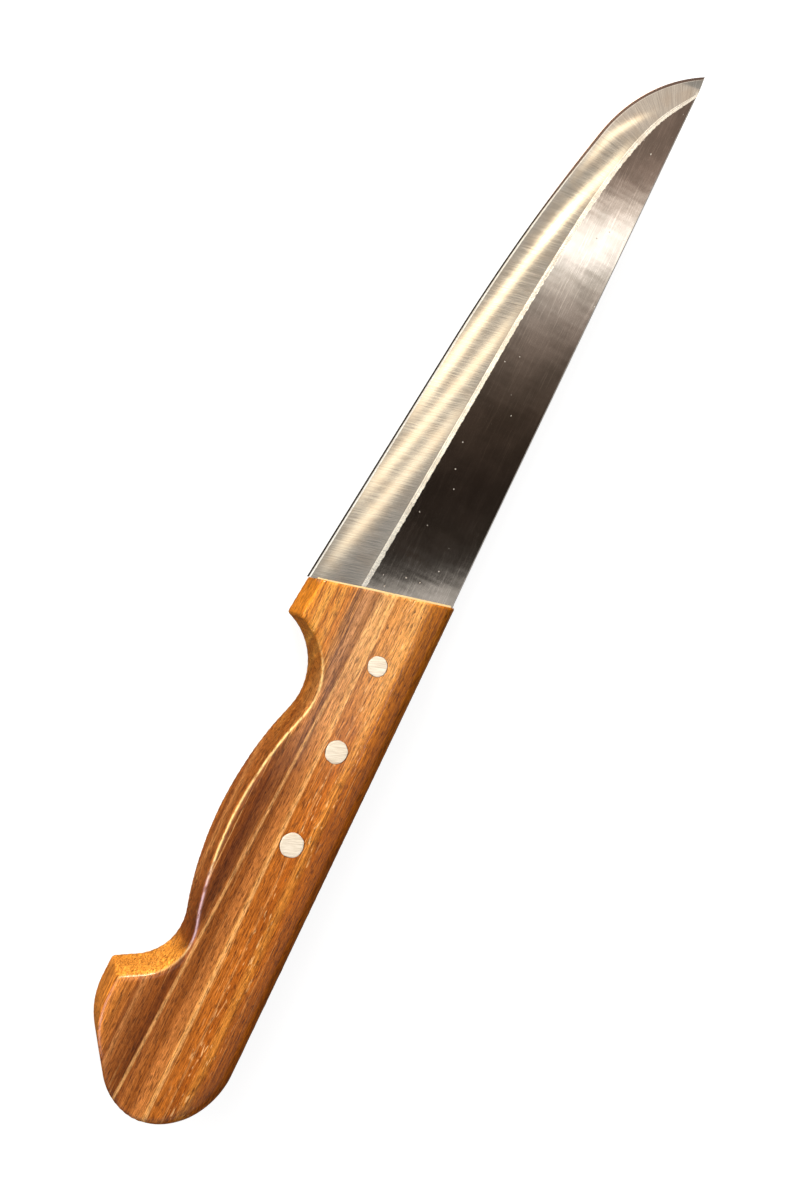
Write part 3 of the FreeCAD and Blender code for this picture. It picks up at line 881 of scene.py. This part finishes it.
mottle = sheet.ramp(sheet.drawn_out(place, (0.6, 4.2, 1.2), 3.0, 0.75),
                    [(0.35, (0.58, 0.52, 0.44, 1)), (0.5, (1.0, 1.0, 1.0, 1)), (0.65, (1.32, 1.36, 1.46, 1))])
colour = sheet.blend(1.0, colour, mottle, "MULTIPLY")
# Painted sheen: short bright flecks of glossy light in a row 5.5 to 14.5 mm from the spine.
sheen_flecks = sheet.span(sheet.drawn_out(place, (0.28, 1.5, 1.5), 2.0, 0.6), 0.60, 0.70)
sheen_fleck_row = sheet.times(sheet.span(figure["Across"], 5.5, 8.0),
                        sheet.span(figure["Across"], 11.0, 14.5, 1.0, 0.0))
sheen_flecks = sheet.times(sheen_flecks, sheen_fleck_row)
colour = sheet.blend(sheet.times(sheen_flecks, 0.8), colour, paint(246, 190, 124))
colour = sheet.blend(sheet.times(figure["Pores"], 0.6), colour, paint(58, 26, 8))
clouds = sheet.ramp(figure["Clouds"], [(0.3, (0.86, 0.84, 0.82, 1)), (0.7, (1.1, 1.1, 1.1, 1))])
colour = sheet.blend(1.0, colour, clouds, "MULTIPLY")
for x, y in PITS:
    away = sheet.add("VectorMath", operation="DISTANCE")
    sheet.put(sheet.stretch(place, 0.5, 1.0, 0.0), away.inputs[0])
    away.inputs[1].default_value = (x * 0.5, y, 0)
    colour = sheet.blend(sheet.span(away.outputs["Value"], 0.08, 0.26, 0.85, 0.0), colour, paint(46, 20, 8))
# Painted highlight on the grip's arrises: pale yellow toward the front, lilac toward the crown, cream in the
# hook, broken up by noise.
arris_highlight_share = sheet.add("Attribute", attribute_name="arris_highlight").outputs["Fac"]
broken = sheet.span(sheet.drawn_out(place, (0.5, 1.4, 1.4), 3.0, 0.6), 0.34, 0.52, 0.25, 1.0)
arris_highlight_share = sheet.times(arris_highlight_share, broken)
arris_highlight_colour = sheet.blend(sheet.span(split[0], -84, -74), paint(206, 176, 190), paint(255, 222, 150))
in_the_hook = sheet.times(sheet.span(split[0], -98, -94, 1.0, 0.0), sheet.span(split[0], -112, -108))
arris_highlight_colour = sheet.blend(in_the_hook, arris_highlight_colour, paint(255, 214, 140))
colour = sheet.blend(sheet.times(arris_highlight_share, 0.85), colour, arris_highlight_colour)
sheet.put(colour, shader["Base Color"])
sheet.put(sheet.times_plus(figure["Stripes"], 0.22, 0.30), shader["Roughness"])
height = sheet.times_plus(figure["Pores"], -0.06, sheet.times(figure["Stripes"], 0.08))
sheet.put(sheet.bump(height, 0.8), shader["Normal"])
wood_piece.data.materials.clear()
wood_piece.data.materials.append(wood)
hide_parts("handle")
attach(wood_piece, "root")

# ---------------------------------------- pins
# Three solid pins of pale soft metal, driven through wood and tang, peened into their countersinks and
# ground flush with the wood.  The heads are a little out of round, with small burrs and grinding lines.

pin_metal, sheet, shader = new_finish("pin_metal", Metallic=0.3)
place = millimetres(sheet)
askew = sheet.add("VectorRotate", rotation_type="Z_AXIS")
sheet.put(place, askew.inputs["Vector"])
askew.inputs["Angle"].default_value = math.radians(72)
lines = use_group(sheet, brushing, Place=askew.outputs[0], Fineness=2.0)
dirt = use_group(sheet, specks, Place=place, Spacing=1.3, Size=0.14)
ground = sheet.span(lines["Lines"], 0.36, 0.62)
colour = sheet.blend(ground, paint(206, 190, 166), paint(252, 242, 226))
colour = sheet.blend(sheet.times(dirt["Mask"], 0.5), colour, paint(150, 138, 118))
sheet.put(colour, shader["Base Color"])
sheet.put(sheet.times_plus(lines["Lines"], 0.25, 0.32), shader["Roughness"])
sheet.put(sheet.bump(sheet.times(lines["Lines"], 0.03)), shader["Normal"])

HEAD_COUNT = 72
# A head from its middle to its neck: (share of the rim's radius, fixed radius where there is one, height).
HEAD_STEPS = [(0, 0, 8.99), (0.35, 0, 8.99), (0.7, 0, 8.985), (0.93, 0, 8.975), (0.985, 0, 8.95),
              (1.0, 0, 8.90), (0.995, 0, 8.6), (0, 2.3, 7.6)]


def head_rim(rim, seed):
    """One head's radius all round: a little out of round, with one small burred spot."""
    random.seed(seed)
    waves = [(k, random.uniform(0.004, 0.016), random.uniform(0, 6.28)) for k in (2, 3, 4, 5, 7, 9)]
    burr_at = random.randrange(HEAD_COUNT)
    out = []
    for k in range(HEAD_COUNT):
        angle = 2 * math.pi * k / HEAD_COUNT
        r = rim * (1 + 0.02 * math.cos(2 * angle) + sum(a * math.sin(n * angle + p) for n, a, p in waves))
        gap = min((k - burr_at) % HEAD_COUNT, (burr_at - k) % HEAD_COUNT)
        out.append(min(r, rim + PIN_GAP * 0.75) + 0.16 * math.exp(-(gap / 1.6) ** 2))
    return out


for number, (name, (x, radius)) in enumerate(PINS.items()):
    points, rings = [], []
    for rim, side in ((head_rim(radius, 60 + number), -1), (head_rim(radius, 40 + number), 1)):
        for share, fixed, z in HEAD_STEPS[::-side]:
            rings.append([])
            for k in range(HEAD_COUNT):
                r = fixed if fixed else rim[k] * max(share, 0.001)
                px, py = turned(360 * k / HEAD_COUNT) * r
                rings[-1].append(len(points))
                points.append((x + px, PIN_ROW + py, z * side))
    pin = make_piece(name + "_metal", points, tube(rings))
    pin.data.materials.append(pin_metal)
    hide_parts(name)
    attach(pin, "root")

# ---------------------------------------- floor and lighting
# A pale floor, a pale surrounding light, two warm soft lights, one past the tip and one on the finger side,
# and cards overhead that only the gloss of the steel and the lacquer can see.


def bench_place(x, y, z):
    return BENCH + Vector((x, y, z)) / 1000


def card(name, centre, size, turn=(0.0, 0.0, 0.0), lean=0.0, colours=None, colour=(1, 1, 1, 1), strength=1.0,
         soft=False):
    """A flat card that only gloss can see, at a place in bench millimetres.

    Its colour is even, or changes along its length.  A soft card fades out towards its long sides and ends.
    """
    mesh = bpy.data.meshes.new(name)
    w, d = size[0] / 2, size[1] / 2
    slip = lean * d
    corners = [(slip - w, -d, 0), (slip + w, -d, 0), (w - slip, d, 0), (-w - slip, d, 0)]
    mesh.from_pydata(corners, [], [(0, 1, 2, 3)])
    piece = bpy.data.objects.new(name, mesh)
    piece.location = bench_place(*centre)
    piece.rotation_euler = [math.radians(t) for t in turn]
    bpy.context.scene.collection.objects.link(piece)
    material = bpy.data.materials.new(name)
    material.use_nodes = True
    material.node_tree.nodes.clear()
    sheet = Sheet(material.node_tree)
    glow = sheet.add("Emission")
    out = sheet.add("OutputMaterial")
    material.node_tree.links.new(glow.outputs[0], out.inputs[0])
    glow.inputs["Color"].default_value = colour
    glow.inputs["Strength"].default_value = strength
    split = sheet.parts(sheet.add("TexCoord").outputs["Object"])
    if colours:
        along = sheet.times_plus(split[1], lean, split[0])
        share = sheet.times_plus(along, 1 / size[0], 0.5)
        sheet.put(sheet.ramp(share, colours, "LINEAR"), glow.inputs["Color"])
    if soft:
        aside = sheet.span(sheet.math("ABSOLUTE", split[1]), 0.0, d, strength, 0.0)
        ends = sheet.span(sheet.math("ABSOLUTE", split[0]), 0.55 * w, w, 1.0, 0.0)
        sheet.put(sheet.times(aside, ends), glow.inputs["Strength"])
        see_through = sheet.add("BsdfTransparent")
        together = sheet.add("AddShader")
        sheet.put(glow.outputs[0], together.inputs[0])
        sheet.put(see_through.outputs[0], together.inputs[1])
        sheet.put(together.outputs[0], out.inputs[0])
    piece.data.materials.append(material)
    piece.visible_camera = False
    piece.visible_diffuse = False
    piece.visible_shadow = False
    piece.visible_transmission = False


floor_mesh = bpy.data.meshes.new("floor")
floor_mesh.from_pydata([(-3, -3, 0), (3, -3, 0), (3, 3, 0), (-3, 3, 0)], [], [(0, 1, 2, 3)])
floor = bpy.data.objects.new("floor", floor_mesh)
floor.location.z = cad_low.z - 0.0002
bpy.context.scene.collection.objects.link(floor)
floor_finish, sheet, shader = new_finish("floor_finish", Roughness=0.9, Emission_Strength=0.82,
                                         Emission_Color=(1, 1, 1, 1))
grain_of_floor = sheet.noise(sheet.add("TexCoord").outputs["Object"], 6.0, 3.0, 0.5)
sheet.put(sheet.blend(grain_of_floor, paint(146, 146, 147), paint(152, 152, 152)), shader["Base Color"])
floor.data.materials.append(floor_finish)
floor.visible_glossy = False
floor.visible_diffuse = False

# Gloss sees a dark ground under a bright sky; everything else sees a soft pale one.
world = bpy.data.worlds.new("surroundings")
world.use_nodes = True
sheet = Sheet(world.node_tree)
split = sheet.parts(sheet.add("TexCoord").outputs["Generated"])
sky_in_gloss = sheet.ramp(split[2], [(0.03, (0.05, 0.045, 0.04, 1)), (0.14, (0.80, 0.78, 0.76, 1)),
                                             (0.5, (1.05, 1.03, 1.0, 1)), (0.95, (1, 1, 1, 1))])
soft_sky = sheet.ramp(sheet.span(split[2], -0.3, 0.2),
                      [(0.0, (0.16, 0.13, 0.10, 1)), (1.0, (1, 1, 1, 1))])
sky = sheet.blend(sheet.add("LightPath").outputs["Is Glossy Ray"], soft_sky, sky_in_gloss)
background = world.node_tree.nodes["Background"]
sheet.put(sky, background.inputs["Color"])
background.inputs["Strength"].default_value = 0.58
bpy.context.scene.world = world


def area_light(name, centre, target, size, power, colour, in_gloss=True):
    data = bpy.data.lights.new(name, "AREA")
    data.shape = "RECTANGLE"
    data.size, data.size_y = size
    data.energy = power
    data.color = colour
    light = bpy.data.objects.new(name, data)
    light.location = bench_place(*centre)
    light.rotation_euler = (bench_place(*target) - light.location).to_track_quat("-Z", "Y").to_euler()
    light.visible_glossy = in_gloss
    bpy.context.scene.collection.objects.link(light)


area_light("key", (560, 350, 300), (-20, 10, 0), (0.34, 0.34), 8.0, (1.0, 0.94, 0.84))
area_light("side", (-20, 640, 190), (-40, 20, 0), (0.50, 0.20), 3.6, (1.0, 0.90, 0.76), in_gloss=False)

CARD_HEIGHT = 700
FLAT_CARD = (40, 580)          # the flat mirrors this stretch of the card: mostly dark, with one bright band
card_length = FLAT_CARD[1] - FLAT_CARD[0]


def dim(x, red, green, blue):
    return ((x - FLAT_CARD[0]) / card_length, (red, green, blue, 1))


card("flat_card", (sum(FLAT_CARD) / 2, -190, CARD_HEIGHT), (card_length / 1000, 0.18), lean=0.478,
     strength=10,
     colours=[dim(40, 0.26, 0.26, 0.25), dim(58, 0.20, 0.20, 0.19), dim(72, 0.020, 0.019, 0.017),
              dim(92, 0.011, 0.009, 0.007), dim(142, 0.009, 0.0066, 0.0052), dim(201, 0.021, 0.0155, 0.0115),
              dim(231, 0.038, 0.030, 0.024), dim(261, 0.080, 0.066, 0.056), dim(291, 0.16, 0.145, 0.13),
              dim(312, 0.27, 0.26, 0.235), dim(326, 0.56, 0.56, 0.54), dim(350, 0.66, 0.66, 0.63),
              dim(364, 0.34, 0.31, 0.275), dim(388, 0.105, 0.082, 0.068), dim(440, 0.08, 0.062, 0.051),
              dim(580, 0.075, 0.06, 0.05)])

# Warm soft bars that the bevel mirrors as streaks: (place along and across, size, turn, strength).
BEVEL_BARS = [((122, 3), (0.20, 0.040), -38, 3.2), ((183, 15), (0.23, 0.040), -36.5, 3.8),
              ((275, 41), (0.25, 0.050), -16, 4.6), ((378, 0), (0.14, 0.070), -44, 4.0),
              ((474, 58), (0.15, 0.060), -42, 3.0)]
for number, ((x, y), size, turn, strength) in enumerate(BEVEL_BARS):
    card("bevel_bar_%d" % (number + 1), (x, y, CARD_HEIGHT - 4 * number - 4), size, (0, 0, turn),
         colour=(1.0, 0.87, 0.64, 1), strength=strength, soft=True)

# Plain cards: for the shoulder, the bevel and the tip, the handle's face and back, its rear, its grip and the
# blade's edge.
card("shoulder_card", (320, -84, CARD_HEIGHT), (0.60, 0.05), colour=(1, 0.95, 0.84, 1), strength=1.5)
card("bevel_fill", (345, 20, CARD_HEIGHT), (0.25, 0.158), colour=(1, 0.94, 0.86, 1), strength=0.8)
card("tip_fill", (700, 90, CARD_HEIGHT + 20), (0.46, 0.36), colour=(1, 0.91, 0.82, 1), strength=1.15)
card("sheen_card", (-32, -158, CARD_HEIGHT), (0.12, 0.08), colour=(1, 0.97, 1, 1), strength=3.5, soft=True)
card("back_card", (-28, -275, CARD_HEIGHT), (0.10, 0.03), colour=(1, 0.98, 0.95, 1), strength=9)
card("rear_flag", (-290, -150, CARD_HEIGHT), (0.42, 0.24), colour=(0.9, 0.8, 1, 1), strength=0.03)
card("arris_card", (-40, 640, 480), (1.7, 0.13), (52, 0, 0), colour=(1, 0.95, 0.88, 1), strength=13)
card("edge_card", (300, 185, CARD_HEIGHT), (1.0, 0.14), colour=(1, 0.99, 0.96, 1), strength=2.0)

# ---------------------------------------- camera
# The camera stands over the handle's finger side and looks down, the knife's tip up and to the right.

CAMERA = (-26.3, 101.14, 354.0)
AIM = (-3.777, 12.245, 0.0)
KNIFE_TURN = 25.665            # degrees that the knife's length leans to the right of upright
LENS = 46.12

view = (Vector(AIM) - Vector(CAMERA)).normalized()
lengthwise = (Vector((1, 0, 0)) - view * view.x).normalized()
sideways = view.cross(lengthwise)
turn = math.radians(KNIFE_TURN)
up = lengthwise * math.cos(turn) - sideways * math.sin(turn)
right = sideways * math.cos(turn) + lengthwise * math.sin(turn)
camera_data = bpy.data.cameras.new("camera")
camera_data.lens = LENS
camera_data.sensor_width = 36
camera_data.clip_start = 0.01
camera = bpy.data.objects.new("camera", camera_data)
rotation = np.array([right, up, -view]).T
placed = [[*rotation[i], bench_place(*CAMERA)[i]] for i in range(3)]
camera.matrix_world = Matrix(placed + [[0, 0, 0, 1]])
bpy.context.scene.collection.objects.link(camera)
bpy.context.scene.camera = camera
